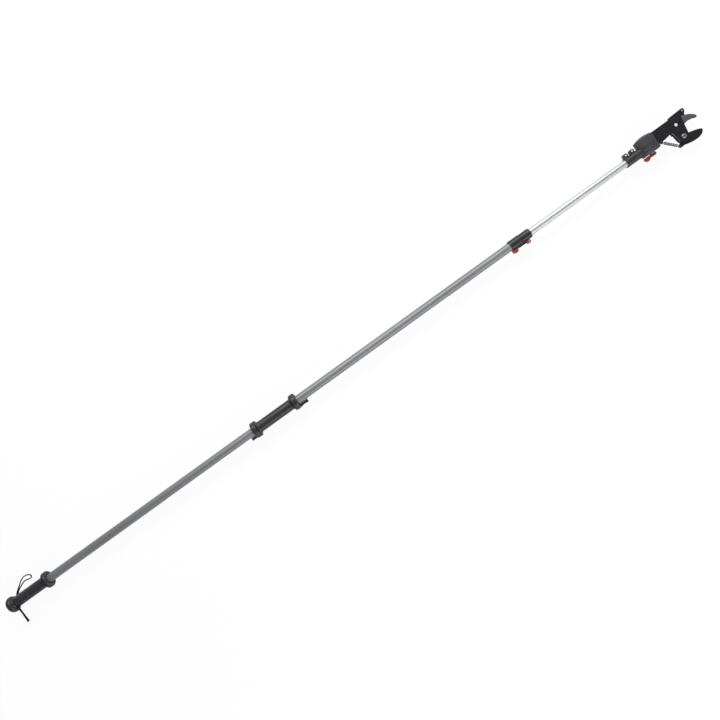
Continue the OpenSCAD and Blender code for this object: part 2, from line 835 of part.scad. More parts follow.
// Pull grip and its carriage
module pull_grip() color("#3c3c42") {
    way = carriage_w / 2 + pass / 2;
    low_in = pull_x + pull_flange_t;
    high_in = pull_end - pull_flange_t;
    difference() {
        turned_x() difference() {
            union() {
                translate([0, pull_x]) square([barrel_r, pull_len]);
                rounded_disc(flange_r, pull_x, low_in, pull_flange_edge, pull_flange_edge);
                flare(barrel_r, low_in, flare_r, 1);
                rounded_disc(flange_r, high_in, pull_end, pull_flange_edge, pull_flange_edge);
                flare(barrel_r, high_in, flare_r, -1);
            }
            translate([0, pull_x - 1]) square([tube_r + run, pull_len + 2]);
            for (x = [pull_x, pull_end])
                translate([tube_r, x]) circle(dish_depth);
        }
        block([pull_x - 1, pull_end + 1], [-tube_r - run - carriage_t, 0], [-way, way]);
    }
}
// Bar of the carriage that stands past a flange, with a hollowed underside
module tongue(x0, x1, depth, waist) {
    bottom = -tube_r - run - depth;
    plate(-carriage_w / 2, carriage_w / 2) difference() {
        translate([x0, bottom]) square([x1 - x0, depth]);
        translate([(x0 + x1) / 2, bottom - tongue_hollow + waist]) circle(tongue_hollow);
    }
}
module strap_carriage() color("#333338") {
    top = -tube_r - run;
    key_half = (slot_w - pass) / 2;
    key_span = [key_x, key_x + key_len];
    difference() {
        union() {
            block(
                [pull_x - tongue_down, pull_end + tongue_up],
                [top - carriage_t, top],
                [-carriage_w / 2, carriage_w / 2]
            );
            tongue(pull_end, pull_end + tongue_up, tongue_depth, tongue_waist);
            tongue(pull_x - tongue_down, pull_x, tongue_depth - tongue_step, tongue_low_waist);
            block(key_span, [top - eps, top + key_depth], [-key_half, key_half]);
            block(key_span, [-foot_side, strap_w / 2], [strap_top, strap_top + foot_t]);
        }
        for (x = carriage_rivet_x)
            rod_z(rivet_r, -far, far, x, 0);
    }
}
module carriage_rivets() color("#c9c9cc")
    for (x = carriage_rivet_x) {
        rod_z(rivet_r, strap_z, strap_top + foot_t, x, 0);
        rod_z(rivet_head_r, strap_z - rivet_head, strap_z, x, 0);
        rod_z(rivet_head_r, strap_top + foot_t, strap_top + foot_t + rivet_head, x, 0);
    }
module strap_piece(x0, x1, holes) {
    difference() {
        block([x0, x1], [-strap_w / 2, strap_w / 2], [strap_z, strap_top]);
        for (x = holes)
            rod_z(rivet_r, -far, far, x, 0);
    }
}
module pole_strap() color("#1b1b1c")
    strap_piece(key_x + strap_lead, swivel_x - strap_break, carriage_rivet_x);

// Cutting head, drawn from the swivel axis
module at_head() {
    translate([swivel_x, 0, 0]) children();
}
module lobe_outline() {
    hull() {
        translate([pivot_x, pivot_y]) circle(lobe_r, $fn = 48);
        translate([lobe_left + 3, 0]) circle(3, $fn = 32);
        translate([mouth_x - 1, -8]) circle(1, $fn = 32);
        translate([mouth_x + 7, hook_bolt_y + 13]) circle(5, $fn = 32);
    }
}
module arm_outline() {
    polygon([
        [arm_root, -8], [arm_joint - 12, -10.5], [arm_joint + 10, -7], [mouth_x, -7],
        [mouth_x + 7, drum_high], [arm_root, drum_high]
    ]);
}
module ear_outline() {
    hull() {
        translate([ear_x, ear_y]) circle(ear_r, $fn = 32);
        translate([ear_root + 8, drum_high - 1]) circle(5, $fn = 32);
        translate([mouth_x + 26, 17]) circle(3, $fn = 32);
        translate([ear_root, 16]) circle(2, $fn = 32);
    }
}
// Flat link: a tongue under the strap, a bar below the hook bolt and a pad for the pin
module link_outline(grow, stroke = 0) {
    tail_x = pin_rest_x - link_tail - grow - stroke;
    bar_y = -strap_w / 2 - grow;
    pad_x = pin_rest_x - link_pad - grow - stroke;
    pad_y = pin_y - link_pad - grow;
    pad_end = pin_rest_x + link_pad + grow;
    translate([tail_x, bar_y])
        square([pivot_x - boss_r - link_nut_gap + grow - tail_x, strap_w + 2 * grow]);
    translate([tail_x, bar_y]) square([pad_end - tail_x, link_bar + 2 * grow]);
    translate([pad_x, pad_y]) square([pad_end - pad_x, bar_y + link_bar + 2 * grow - pad_y]);
}
module head_arm() color("#2f2f35") at_head() {
    way = strap_w / 2 + pass;
    difference() {
        union() {
            turned_y() {
                translate([0, cheek_in]) square([drum_r, drum_high - cheek_in]);
                rounded_disc(drum_r, -drum_low, -cheek_in, drum_edge, cheek_edge);
            }
            plate(base_bottom, cover_top) intersection() {
                arm_outline();
                translate([0, -far / 2]) square([arm_joint, far]);
            }
            plate(base_bottom, base_top) arm_outline();
            plate(lobe_bottom, base_top) lobe_outline();
            plate(base_bottom, base_top) link_outline(pass + bed_wall, strap_pull);
            plate(base_bottom, cover_z) intersection() {
                arm_outline();
                translate([0, drum_high - arm_wall]) square([ear_root, far]);
            }
            plate(ear_z, hook_z) ear_outline();
            rod_z(boss_r, base_bottom, hook_z, pivot_x, hook_bolt_y);
            translate([spring_lug[0], spring_lug[1], spring_z - lug_t / 2]) {
                cylinder(r = lug_r, h = lug_t);
                translate([-lug_r, 0, 0]) cube([2 * lug_r, lug_rise, lug_t]);
            }
        }
        rod_y(drum_r + pass, -cheek_in, cheek_in);
        rod_y(swivel_bolt_d / 2, -far, far);
        rod_y(swivel_pocket_r, drum_high - swivel_sink, far);
        notch_ring(-cheek_in);
        notch_ring(cheek_in);
        plate(link_z - pass, base_top + eps) link_outline(pass, strap_pull);
        block(
            [0, link_rivet_x[0] + rivet_head_r],
            [-way, way],
            [link_z - pass, strap_top + pass + rivet_head + link_headroom]
        );
        block(
            [arm_joint - arm_gap, arm_joint + eps],
            [pin_y - pass, drum_high - arm_wall],
            [base_top - eps, cover_z]
        );
        rod_z(pivot_d / 2, -far, far, pivot_x, pivot_y);
        rod_z(hook_bolt_d / 2, -far, far, pivot_x, hook_bolt_y);
        hex_z(hook_nut_af, base_bottom - 1, base_bottom + nut_h, pivot_x, hook_bolt_y);
        rod_z(ear_hole_d / 2, -far, far, ear_x, ear_y);
        rod_z(ear_r - ear_rim, -far, hook_z - ear_t, ear_x, ear_y);
        rod_z(spring_eye_d / 2, -far, far, spring_lug[0], spring_lug[1]);
        for (p = cover_screw_at) {
            rod_z(screw_r, -far, far, p[0], p[1]);
            rod_z(screw_head_r, -far, base_bottom + cover_screw_head, p[0], p[1]);
        }
    }
    ridges(cheek_in, 0);
}
module head_cover() color("#38383f") at_head() {
    difference() {
        union() {
            plate(cover_z, cover_top) intersection() {
                arm_outline();
                translate([arm_joint, -far / 2]) square(far);
            }
            plate(cover_z, cover_top) lobe_outline();
        }
        rod_z(pivot_d / 2, -far, far, pivot_x, pivot_y);
        rod_z(hook_bolt_d / 2, -far, far, pivot_x, hook_bolt_y);
        translate([pivot_x - hook_recess / 2, hook_bolt_y - hook_recess / 2, cover_top - recess_depth])
            cube([hook_recess, hook_recess, far]);
        for (p = cover_screw_at)
            rod_z(screw_r, -far, cover_screw_end, p[0], p[1]);
    }
}
module cover_screws() color("#8a8a8e") at_head()
    for (p = cover_screw_at) {
        rod_z(screw_head_r, base_bottom, base_bottom + cover_screw_head, p[0], p[1]);
        rod_z(screw_r, base_bottom + cover_screw_head - eps, cover_screw_end, p[0], p[1]);
    }
module hook() color("#737476") at_head() {
    m = hook_x;
    horn = concat(
        [[m + 8, hook_top], [m + 20, hook_top - 1]],
        bezier([m + 22, 16.6], [m + 33, 12.6], [m + 47, 5.4], [m + 52, -4.4]),
        bezier([m + 52.4, -6], [m + 52.6, -8.6], [m + 49, -10.6], [m + 46, -9.5], 5),
        bezier([m + 45, -9], [m + 33, -2.8], [m + 9.4, -0.2], [m + 2.4, -13])
    );
    root = [[mouth_x, pivot_y], [lobe_left + 6, pivot_y], [lobe_left, -6], [lobe_left, hook_top]];
    difference() {
        union() {
            plate(hook_z, cover_z) polygon(concat(horn, root));
            rod_z(lobe_r - 1, hook_z, cover_z, pivot_x, pivot_y);
        }
        rod_z(pivot_d / 2, -far, far, pivot_x, pivot_y);
        rod_z(hook_bolt_d / 2, -far, far, pivot_x, hook_bolt_y);
    }
}
module hook_bolt() color("#e2e2e4") at_head() {
    seat = cover_top - recess_depth;
    rod_z(hook_head_d / 2, seat, seat + head_h, pivot_x, hook_bolt_y);
    rod_z(hook_bolt_d / 2, base_bottom, seat + eps, pivot_x, hook_bolt_y);
}
module hook_nut() color("#b9b9bc") at_head()
    difference() {
        hex_z(hook_nut_af, base_bottom, base_bottom + nut_h, pivot_x, hook_bolt_y);
        rod_z(hook_bolt_d / 2, -far, far, pivot_x, hook_bolt_y);
    }
module pivot_bolt() color("#a9a9ac") at_head() {
    seat = cover_top + washer_t;
    rod_z(pivot_head_d / 2, seat, seat + head_h, pivot_x, pivot_y);
    rod_z(pivot_d / 2, base_bottom, seat + eps, pivot_x, pivot_y);
}
module pivot_washer() color("#c9c9cc") at_head()
    difference() {
        rod_z(pivot_head_d / 2 + pivot_washer_rim, cover_top, cover_top + washer_t, pivot_x, pivot_y);
        rod_z(pivot_d / 2, -far, far, pivot_x, pivot_y);
    }
module pivot_nut() color("#b9b9bc") at_head()
    difference() {
        hex_z(pivot_nut_af, base_bottom, base_bottom + nut_h, pivot_x, pivot_y);
        rod_z(pivot_d / 2, -far, far, pivot_x, pivot_y);
    }
module swivel_bolt() color("#b9b9bc") at_head() {
    seat = drum_high - swivel_sink;
    rod_y(swivel_bolt_d / 2, -drum_low - swivel_stub, seat + eps);
    translate([0, seat, 0]) rotate([-90, 0, 0]) cylinder(d = swivel_head_d, h = swivel_head_h, $fn = 6);
}
module swivel_cap() color("#4a4a50") at_head()
    translate([0, drum_high, 0]) turned_y() intersection() {
        square([cap_r, cap_h]);
        translate([0, cap_h - cap_dome]) circle(cap_dome, $fn = 180);
    }
module swivel_washer() color("#c9c9cc") at_head()
    difference() {
        rod_y(washer_r, -drum_low - washer_t, -drum_low);
        rod_y(swivel_bolt_d / 2, -far, far);
    }
module wing_nut() color("#b8493a") at_head() {
    top = -drum_low - washer_t;
    wing_y = top - wing_drop;
    difference() {
        union() {
            rod_y(wing_hub_r, top - wing_hub_h, top);
            plate(-wing_half, wing_half) intersection() {
                union() {
                    translate([-wing_long, wing_y]) circle(wing_disc_r);
                    translate([-wing_long, wing_y - wing_bar / 2]) square([wing_long, wing_bar]);
                    translate([0, wing_y - wing_tip_r]) square([wing_short - wing_tip_r, 2 * wing_tip_r]);
                    translate([wing_short - wing_tip_r, wing_y]) circle(wing_tip_r);
                }
                translate([-far / 2, top - wing_clear - far]) square(far);
            }
        }
        rod_y(swivel_bolt_d / 2 + run, -far, far);
    }
}

// Return spring: one unbroken wire with a hook at each end
module return_spring() color("#cfcfd2") at_head()
    translate([spring_lug[0], spring_lug[1], spring_z]) rotate([0, 0, spring_angle])
        sweep(spring_path, wire_d / 2, wire_sides);

// Strap end inside the head
module strap_link() color("#b9b9bc") at_head()
    difference() {
        plate(link_z, strap_z) link_outline(0);
        rod_z(strap_pin_d / 2, -far, far, pin_rest_x, pin_y);
        for (x = link_rivet_x)
            rod_z(rivet_r, -far, far, x, 0);
    }
module strap_pin() color("#c9c9cc") at_head()
    rod_z(strap_pin_d / 2, link_z, -blade_gap, pin_rest_x, pin_y);
module head_strap() color("#1b1b1c") at_head()
    strap_piece(head_strap_x, pin_rest_x - link_lap, link_rivet_x);
module link_rivets() color("#c9c9cc") at_head()
    for (x = link_rivet_x) {
        rod_z(rivet_r, link_z, strap_top, x, 0);
        rod_z(rivet_head_r, strap_top, strap_top + rivet_head, x, 0);
    }
module blade_slot(r, length) {
    translate([-r, slot_near, 0]) cube([2 * r, slot_far - slot_near, length]);
    for (y = [slot_near, slot_far])
        translate([0, y, 0]) cylinder(r = r, h = length);
}
module blade() color("#1b1b1c") at_head() {
    body = concat(
        bezier([10, 5], [30, -1.6], [50, -3.4], [61.5, -12.5]),
        bezier([61.4, -14.4], [55.5, -29.5], [32, -31], [6, -25]),
        bezier([4, -24.6], [-4, -22.5], [-9, -20.5], [-14, -22.5], 6),
        [[-20, -22.5], [-24, -19.5], [-23.5, -14], [-15, -10]]
    );
    translate([pivot_x, pivot_y, blade_z]) difference() {
        union() {
            linear_extrude(blade_t) polygon(body);
            cylinder(r = lobe_r - 2, h = blade_t);
            rotate(-half_angle) {
                translate([-lever_half, 0, 0]) cube([2 * lever_half, slot_far, blade_t]);
                translate([0, slot_far, 0]) cylinder(r = lever_half, h = blade_t);
            }
        }
        translate([0, 0, -1]) {
            cylinder(r = pivot_d / 2 + run, h = blade_t + 2);
            translate(tail_hole) cylinder(d = spring_eye_d, h = blade_t + 2);
            rotate(-half_angle) blade_slot(slot_half, blade_t + 2);
        }
    }
}

end_grip();
outer_tube();
cord_loop();
cord_tail();
cord_knot();
collar();
collar_screw();
collar_bush();
brake_pads();
lever_pin();
clamp_lever();
inner_tube();
inner_guide();
head_socket();
socket_screws();
socket_nuts();
strap_roller();
pull_grip();
strap_carriage();
carriage_rivets();
pole_strap();
head_arm();
head_cover();
cover_screws();
hook();
hook_bolt();
hook_nut();
pivot_bolt();
pivot_washer();
pivot_nut();
swivel_bolt();
swivel_cap();
swivel_washer();
wing_nut();
return_spring();
strap_link();
strap_pin();
head_strap();
link_rivets();
blade();
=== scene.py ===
import json
import math
import bmesh
import bpy
from mathutils import Matrix, Vector


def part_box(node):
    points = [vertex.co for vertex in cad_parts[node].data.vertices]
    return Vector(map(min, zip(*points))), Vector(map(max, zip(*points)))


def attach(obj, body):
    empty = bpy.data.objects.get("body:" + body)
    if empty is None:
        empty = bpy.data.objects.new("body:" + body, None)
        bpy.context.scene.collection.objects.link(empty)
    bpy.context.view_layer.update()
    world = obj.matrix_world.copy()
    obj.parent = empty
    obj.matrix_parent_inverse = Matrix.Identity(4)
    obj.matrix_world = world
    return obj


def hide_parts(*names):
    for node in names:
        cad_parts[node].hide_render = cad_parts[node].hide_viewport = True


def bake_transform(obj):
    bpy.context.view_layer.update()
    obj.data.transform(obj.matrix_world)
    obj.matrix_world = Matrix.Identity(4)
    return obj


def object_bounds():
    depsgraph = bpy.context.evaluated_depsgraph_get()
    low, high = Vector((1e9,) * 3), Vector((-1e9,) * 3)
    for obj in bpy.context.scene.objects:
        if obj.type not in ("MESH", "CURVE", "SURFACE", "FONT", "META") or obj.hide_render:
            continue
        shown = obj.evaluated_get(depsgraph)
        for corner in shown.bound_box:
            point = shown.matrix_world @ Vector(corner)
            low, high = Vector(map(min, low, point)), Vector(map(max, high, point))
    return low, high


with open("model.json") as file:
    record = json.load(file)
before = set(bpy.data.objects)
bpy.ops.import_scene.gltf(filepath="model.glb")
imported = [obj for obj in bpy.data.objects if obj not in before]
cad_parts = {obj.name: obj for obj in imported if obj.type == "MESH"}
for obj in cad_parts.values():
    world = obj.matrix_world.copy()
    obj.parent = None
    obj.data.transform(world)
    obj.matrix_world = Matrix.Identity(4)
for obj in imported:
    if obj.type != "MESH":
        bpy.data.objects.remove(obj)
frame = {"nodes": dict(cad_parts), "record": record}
cadBox = [list(corner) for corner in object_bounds()]
nodes = frame["nodes"]
bodyOf = {node: body for body, members in frame["record"]["behaviour"]["bodies"].items() for node in members}
slotOf = {part["node"]: part["material_slot"] for part in frame["record"]["subparts"]}
scene = bpy.context.scene
mm = 0.001
print("frame loaded:", len(nodes), "nodes")


# Camera straight above the pole, rolled so that the pole runs up to the right
shot = {
    "x": 1.2265, "y": -0.0121, "roll": 35.74, "clipEnd": 50,
    "pixels": 720, "mmPerPixel": 2.87, "focalPixels": 600, "sensor": 36,
}
cameraData = bpy.data.cameras.new("photoCamera")
cameraData.sensor_width = shot["sensor"]
cameraData.lens = shot["focalPixels"] * shot["sensor"] / shot["pixels"]
cameraData.clip_end = shot["clipEnd"]
camera = bpy.data.objects.new("photoCamera", cameraData)
camera.location = (shot["x"], shot["y"], shot["mmPerPixel"] * mm * shot["focalPixels"])
camera.rotation_euler = (0, 0, -math.radians(shot["roll"]))
scene.collection.objects.link(camera)
scene.camera = camera
scene.view_settings.view_transform = "Standard"


# Small tools for materials and meshes

# degrees, past which an edge stays hard
creaseAngle = {"solid": 32, "strap": 50, "bolt": 35, "workedEdge": 40}


def toLinear(hexColour):
    parts = [int(hexColour[i:i + 2], 16) / 255 for i in (1, 3, 5)]
    return tuple(p / 12.92 if p <= 0.04045 else ((p + 0.055) / 1.055) ** 2.4 for p in parts) + (1,)


def addNode(tree, kind, settings=None, links=None):
    # settings are sockets by name or number, a ramp's stops, or the node's own properties
    node = tree.nodes.new(kind)
    for name, value in (settings or {}).items():
        if name == "stops":
            elements = node.color_ramp.elements
            while len(elements) < len(value):
                elements.new(0.5)
            for element, (place, colour) in zip(elements, value):
                element.position = place
                element.color = toLinear(colour)
        elif isinstance(name, int) or name in node.inputs:
            node.inputs[name].default_value = value
        else:
            setattr(node, name, value)
    for name, socket in (links or {}).items():
        tree.links.new(socket, node.inputs[name])
    return node


def startMaterial(name):
    material = bpy.data.materials.new(name)
    material.use_nodes = True
    tree = material.node_tree
    tree.nodes.clear()
    return material, tree


def smoothByAngle(mesh, kind):
    mesh.shade_smooth()
    mesh.set_sharp_from_angle(angle=math.radians(creaseAngle[kind]))


def ringMesh(name, rings):
    # rings of equally many points, joined by quads and closed at both ends
    sides = len(rings[0])
    last = (len(rings) - 1) * sides
    faces = []
    for low in range(0, last, sides):
        for k in range(sides):
            after = (k + 1) % sides
            faces.append((low + k, low + after, low + sides + after, low + sides + k))
    faces.append(tuple(range(sides - 1, -1, -1)))
    faces.append(tuple(range(last, last + sides)))
    mesh = bpy.data.meshes.new(name)
    mesh.from_pydata([point for ring in rings for point in ring], [], faces)
    return mesh


def addObject(name, mesh, body, material, slot, *replaced):
    piece = bpy.data.objects.new(name, mesh)
    scene.collection.objects.link(piece)
    mesh.materials.clear()
    mesh.materials.append(material)
    if body:
        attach(piece, body)
    if replaced:
        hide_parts(*replaced)
    return piece


def bakeModifiers(piece):
    # the evaluated mesh becomes the piece's own, and its modifiers go
    bpy.context.view_layer.update()
    shown = piece.evaluated_get(bpy.context.evaluated_depsgraph_get())
    mesh = bpy.data.meshes.new_from_object(shown)
    old = piece.data
    piece.modifiers.clear()
    piece.data = mesh
    bpy.data.meshes.remove(old)


# Floor and light

studio = {
    "floorX": (-6, 8.5), "floorY": (-7, 7), "paper": "#f6f6f6", "whiteShare": 0.93, "skyLight": 0.42,
    "key": {"place": (1.85, 1.65, 1.25), "target": (1.7, 0, 0), "size": (3.0, 0.8), "watts": 56},
    "fill": {"place": (1.75, -1.9, 1.0), "target": (1.6, 0, 0), "size": (3.0, 0.7), "watts": 34},
}
white = (1, 1, 1, 1)


def makeFloor():
    # mostly plain white to camera and reflections, with a share of paper that takes the shadow
    material, tree = startMaterial("whiteStudioFloor")
    path = addNode(tree, "ShaderNodeLightPath")
    seen = addNode(tree, "ShaderNodeMath", {"operation": "MAXIMUM"},
                   {0: path.outputs["Is Camera Ray"], 1: path.outputs["Is Glossy Ray"]})
    anySeen = addNode(tree, "ShaderNodeMath", {"operation": "MAXIMUM"},
                      {0: seen.outputs[0], 1: path.outputs["Is Transmission Ray"]})
    share = addNode(tree, "ShaderNodeMath", {"operation": "MULTIPLY", 1: studio["whiteShare"]},
                    {0: anySeen.outputs[0]})
    paper = addNode(tree, "ShaderNodeBsdfDiffuse", {"Color": toLinear(studio["paper"])})
    glow = addNode(tree, "ShaderNodeEmission", {"Color": white, "Strength": 1.0})
    surface = addNode(tree, "ShaderNodeMixShader",
                      links={0: share.outputs[0], 1: paper.outputs[0], 2: glow.outputs[0]})
    addNode(tree, "ShaderNodeOutputMaterial", links={"Surface": surface.outputs[0]})
    (x0, x1), (y0, y1), low = studio["floorX"], studio["floorY"], cadBox[0][2]
    mesh = bpy.data.meshes.new("studioFloor")
    mesh.from_pydata([(x0, y0, low), (x1, y0, low), (x1, y1, low), (x0, y1, low)], [], [(0, 1, 2, 3)])
    mesh.materials.append(material)
    floor = bpy.data.objects.new("studioFloor", mesh)
    scene.collection.objects.link(floor)


def makeWorld():
    # soft light from all round, and plain white to the camera
    world = bpy.data.worlds.new("paleStudio")
    scene.world = world
    world.use_nodes = True
    tree = world.node_tree
    tree.nodes.clear()
    path = addNode(tree, "ShaderNodeLightPath")
    light = addNode(tree, "ShaderNodeBackground", {"Color": white, "Strength": studio["skyLight"]})
    backdrop = addNode(tree, "ShaderNodeBackground", {"Color": white, "Strength": 1.0})
    mixed = addNode(tree, "ShaderNodeMixShader",
                    links={0: path.outputs["Is Camera Ray"], 1: light.outputs[0], 2: backdrop.outputs[0]})
    addNode(tree, "ShaderNodeOutputWorld", links={"Surface": mixed.outputs[0]})


def addSoftbox(name, place, target, size, watts):
    light = bpy.data.lights.new(name, "AREA")
    light.shape = "RECTANGLE"
    light.size, light.size_y = size
    light.energy = watts
    lamp = bpy.data.objects.new(name, light)
    lamp.location = place
    back = (Vector(place) - Vector(target)).normalized()
    side = Vector((1, 0, 0))
    up = back.cross(side).normalized()
    lamp.rotation_euler = Matrix((side, up, back)).transposed().to_euler()
    scene.collection.objects.link(lamp)


makeWorld()
makeFloor()
addSoftbox("keySoftbox", **studio["key"])
addSoftbox("fillSoftbox", **studio["fill"])
print("camera, floor and light done")


# Materials, each named for the real one, with sizes in millimetres
# Grain and drawing lines are coarser than real ones, 0.6 to 1.2 mm, so that close views show them

plasticLook = {
    "cloud": 22, "stops": (0.3, 0.52, 0.75), "roughSpread": (-0.06, 0.08), "edge": 0.6, "depth": 0.3,
}
metalLook = {
    "smudge": 60, "smudgeStretch": (0.4, 1, 1), "smudgeShare": 0.45,
    "stops": (0.3, 0.7), "roughSpread": (-0.07, 0.09), "depth": 0.2,
}
strapLook = {"thread": 0.9, "stops": (0.1, 0.8), "bump": 0.5, "depth": 0.4}
cordLook = {"fibre": 0.4, "stops": (0.1, 0.9), "bump": 0.35, "depth": 0.2}


def paintDrumLight(tree, place, colour, paintedLight):
    # painted light: the drum is painted a lighter slate than the arm that grows from it, because its round
    # sides catch more light than the flat arm
    spoke = addNode(tree, "ShaderNodeMapping", {"Location": (-paintedLight["x"] * mm, 0, 0), "Scale": (1, 0, 1)},
                    {"Vector": place})
    reach = addNode(tree, "ShaderNodeVectorMath", {"operation": "LENGTH"}, {0: spoke.outputs["Vector"]})
    inside = addNode(tree, "ShaderNodeMath", {"operation": "LESS_THAN", 1: paintedLight["radius"] * mm},
                     {0: reach.outputs["Value"]})
    # sockets 6 and 7 are the two colours, and output 2 is the mixed one
    mixed = addNode(tree, "ShaderNodeMix", {"data_type": "RGBA", 7: toLinear(paintedLight["colour"])},
                    {0: inside.outputs[0], 6: colour})
    return mixed.outputs[2]


def mouldedPlastic(name, colours, roughness, grain, bump, ior=1.49, paintedLight=None):
    # injection-moulded plastic: cloudy colour, spark-eroded grain, edges rounded by the mould
    look = plasticLook
    material, tree = startMaterial(name)
    place = addNode(tree, "ShaderNodeTexCoord").outputs["Object"]
    cloud = addNode(tree, "ShaderNodeTexNoise",
                    {"Scale": 1 / (look["cloud"] * mm), "Detail": 4.0, "Roughness": 0.6}, {"Vector": place})
    grit = addNode(tree, "ShaderNodeTexNoise",
                   {"Scale": 1 / (grain * mm), "Detail": 2.0, "Roughness": 0.55}, {"Vector": place})
    ramp = addNode(tree, "ShaderNodeValToRGB", {"stops": list(zip(look["stops"], colours))},
                   {"Fac": cloud.outputs["Fac"]})
    colour = ramp.outputs["Color"]
    # painted light: inside the drum's radius the colour is made lighter
    if paintedLight:
        colour = paintDrumLight(tree, place, colour, paintedLight)
    smoother, rougher = look["roughSpread"]
    rough = addNode(tree, "ShaderNodeMapRange",
                    {"To Min": roughness + smoother, "To Max": roughness + rougher},
                    {"Value": grit.outputs["Fac"]})
    rounded = addNode(tree, "ShaderNodeBevel", {"samples": 4, "Radius": look["edge"] * mm})
    relief = addNode(tree, "ShaderNodeBump", {"Strength": bump, "Distance": look["depth"] * mm},
                     {"Height": grit.outputs["Fac"], "Normal": rounded.outputs[0]})
    surface = addNode(tree, "ShaderNodeBsdfPrincipled", {"IOR": ior}, {
        "Base Color": colour, "Roughness": rough.outputs[0], "Normal": relief.outputs[0]})
    addNode(tree, "ShaderNodeOutputMaterial", links={"Surface": surface.outputs[0]})
    return material


def drawnMetal(name, colours, roughness, metallic, lineWidth, bump, stretch=(1, 1, 1)):
    # drawn or brushed metal: fine lines along the work, a little smudged
    look = metalLook
    material, tree = startMaterial(name)
    place = addNode(tree, "ShaderNodeTexCoord").outputs["Object"]
    drawn = addNode(tree, "ShaderNodeMapping", {"Scale": stretch}, {"Vector": place})
    wiped = addNode(tree, "ShaderNodeMapping", {"Scale": look["smudgeStretch"]}, {"Vector": place})
    lines = addNode(tree, "ShaderNodeTexNoise",
                    {"Scale": 1 / (lineWidth * mm), "Detail": 3.0, "Roughness": 0.65},
                    {"Vector": drawn.outputs["Vector"]})
    smudge = addNode(tree, "ShaderNodeTexNoise", {"Scale": 1 / (look["smudge"] * mm), "Detail": 3.0},
                     {"Vector": wiped.outputs["Vector"]})
    # sockets 2 and 3 are the two numbers that are mixed
    both = addNode(tree, "ShaderNodeMix", {"data_type": "FLOAT", "Factor": look["smudgeShare"]},
                   {2: lines.outputs["Fac"], 3: smudge.outputs["Fac"]})
    ramp = addNode(tree, "ShaderNodeValToRGB", {"stops": list(zip(look["stops"], colours))},
                   {"Fac": both.outputs[0]})
    smoother, rougher = look["roughSpread"]
    rough = addNode(tree, "ShaderNodeMapRange",
                    {"To Min": roughness + smoother, "To Max": roughness + rougher},
                    {"Value": both.outputs[0]})
    relief = addNode(tree, "ShaderNodeBump", {"Strength": bump, "Distance": look["depth"] * mm},
                     {"Height": lines.outputs["Fac"]})
    surface = addNode(tree, "ShaderNodeBsdfPrincipled", {"Metallic": metallic}, {
        "Base Color": ramp.outputs["Color"], "Roughness": rough.outputs[0], "Normal": relief.outputs[0]})
    addNode(tree, "ShaderNodeOutputMaterial", links={"Surface": surface.outputs[0]})
    return material


def wovenStrap(name, colours):
    # woven polyester strap: plain weave, about two threads to a wave, with a faint sheen; the gaps between
    # threads take the darker colour, as painted shade
    look = strapLook
    material, tree = startMaterial(name)
    place = addNode(tree, "ShaderNodeTexCoord").outputs["Object"]
    bands = [addNode(tree, "ShaderNodeTexWave", {"wave_type": "BANDS", "bands_direction": way,
                                                 "Scale": 0.5 / (look["thread"] * mm) / math.pi},
                     {"Vector": place}) for way in ("X", "Y")]
    threads = addNode(tree, "ShaderNodeMath", {"operation": "MULTIPLY"},
                      {0: bands[0].outputs["Fac"], 1: bands[1].outputs["Fac"]})
    # painted shade: where the threads dip, the colour is darker
    ramp = addNode(tree, "ShaderNodeValToRGB", {"stops": list(zip(look["stops"], colours))},
                   {"Fac": threads.outputs[0]})
    relief = addNode(tree, "ShaderNodeBump", {"Strength": look["bump"], "Distance": look["depth"] * mm},
                     {"Height": threads.outputs[0]})
    surface = addNode(tree, "ShaderNodeBsdfPrincipled", {"Roughness": 0.8, "Sheen Weight": 0.25}, {
        "Base Color": ramp.outputs["Color"], "Normal": relief.outputs[0]})
    addNode(tree, "ShaderNodeOutputMaterial", links={"Surface": surface.outputs[0]})
    return material


def braidedCord(name, colours):
    # braided polyester: dull and a little fuzzy. The braid is in the mesh, and its height in an attribute;
    # the colour darkens where the braid is low, as painted shade between the strands
    look = cordLook
    material, tree = startMaterial(name)
    place = addNode(tree, "ShaderNodeTexCoord").outputs["Object"]
    height = addNode(tree, "ShaderNodeAttribute", {"attribute_name": "braidHeight"})
    fuzz = addNode(tree, "ShaderNodeTexNoise", {"Scale": 1 / (look["fibre"] * mm), "Detail": 2.0},
                   {"Vector": place})
    # painted shade: the lower parts of the braid take the darker colour
    ramp = addNode(tree, "ShaderNodeValToRGB", {"stops": list(zip(look["stops"], colours))},
                   {"Fac": height.outputs["Fac"]})
    relief = addNode(tree, "ShaderNodeBump", {"Strength": look["bump"], "Distance": look["depth"] * mm},
                     {"Height": fuzz.outputs["Fac"]})
    surface = addNode(tree, "ShaderNodeBsdfPrincipled", {"Roughness": 0.9, "Specular IOR Level": 0.15}, {
        "Base Color": ramp.outputs["Color"], "Normal": relief.outputs[0]})
    addNode(tree, "ShaderNodeOutputMaterial", links={"Surface": surface.outputs[0]})
    return material


